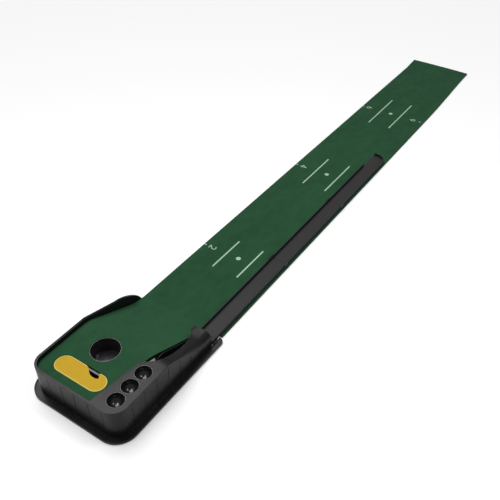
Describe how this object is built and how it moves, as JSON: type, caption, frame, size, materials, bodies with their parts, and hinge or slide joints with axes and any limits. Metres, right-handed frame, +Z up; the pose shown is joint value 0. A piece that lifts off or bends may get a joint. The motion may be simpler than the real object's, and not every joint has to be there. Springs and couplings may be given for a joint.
{
  "type": "practice putting mat",
  "caption": "Rolled-out putting mat with a raised cup base, ramp, ball rests, bunker insert and a side trough that returns the ball.",
  "frame": {"origin": "centre of the footprint, on the floor", "axes": "+Z up; +Y from the cup end to the far end of the mat; +X the side with the return trough"},
  "size_m": [0.333, 2.59, 0.1],
  "materials": {
    "housing_plastic": "satin black moulded plastic",
    "deck_plastic": "matt black plastic",
    "rest_gloss_plastic": "glossy black plastic",
    "cup_gloss_plastic": "glossy dark grey plastic",
    "chute_plastic": "satin black plastic",
    "tray_gloss_plastic": "glossy black plastic",
    "bunker_plastic": "satin sand-yellow plastic",
    "deck_screw_steel": "plain steel",
    "chute_screw_steel": "plain steel",
    "foot_rubber": "black rubber",
    "turf_fabric": "short dark green nap",
    "backing_rubber": "dark foam rubber",
    "tape_fabric": "double-sided cloth tape",
    "trough_near_plastic": "satin dark grey plastic",
    "trough_middle_plastic": "satin dark grey plastic",
    "trough_far_plastic": "satin dark grey plastic",
    "grip_fabric": "black hook tape"
  },
  "bodies": {
    "base": {"base_housing": "housing_plastic", "ramp_deck": "deck_plastic", "ball_rest_tray": "rest_gloss_plastic", "cup_liner": "cup_gloss_plastic", "return_chute": "chute_plastic", "bunker_tray": "tray_gloss_plastic", "putting_turf": "turf_fabric", "turf_backing_ramp": "backing_rubber", "turf_backing_floor": "backing_rubber", "deck_screw_1": "deck_screw_steel", "chute_screw_1": "chute_screw_steel", "deck_screw_2": "deck_screw_steel", "chute_screw_2": "chute_screw_steel", "deck_screw_3": "deck_screw_steel", "chute_screw_3": "chute_screw_steel", "deck_screw_4": "deck_screw_steel", "chute_screw_4": "chute_screw_steel", "deck_screw_5": "deck_screw_steel", "chute_screw_5": "chute_screw_steel", "rubber_foot_1": "foot_rubber", "rubber_foot_2": "foot_rubber", "rubber_foot_3": "foot_rubber", "rubber_foot_4": "foot_rubber", "rubber_foot_5": "foot_rubber", "rubber_foot_6": "foot_rubber", "mat_tape_1": "tape_fabric", "mat_tape_2": "tape_fabric", "mat_tape_3": "tape_fabric", "mat_tape_4": "tape_fabric"},
    "bunker_insert": {"bunker_insert": "bunker_plastic"},
    "trough_near": {"trough_near": "trough_near_plastic", "grip_near_middle": "grip_fabric"},
    "trough_middle": {"trough_middle": "trough_middle_plastic", "grip_middle_socket": "grip_fabric", "grip_middle_middle": "grip_fabric"},
    "trough_far": {"trough_far": "trough_far_plastic", "grip_far_socket": "grip_fabric", "grip_far_middle": "grip_fabric"}
  },
  "joints": [
    {"name": "bunker_insert_lift", "type": "slide", "parent": "base", "child": "bunker_insert", "axis": [0, 0, 1], "range_m": [0, 0.05]},
    {"name": "trough_near_pull", "type": "slide", "parent": "base", "child": "trough_near", "axis": [0, 1, 0], "range_m": [0, 0.06]},
    {"name": "trough_middle_pull", "type": "slide", "parent": "trough_near", "child": "trough_middle", "axis": [0, 1, 0], "range_m": [0, 0.06]},
    {"name": "trough_far_pull", "type": "slide", "parent": "trough_middle", "child": "trough_far", "axis": [0, 1, 0], "range_m": [0, 0.06]}
  ]
}
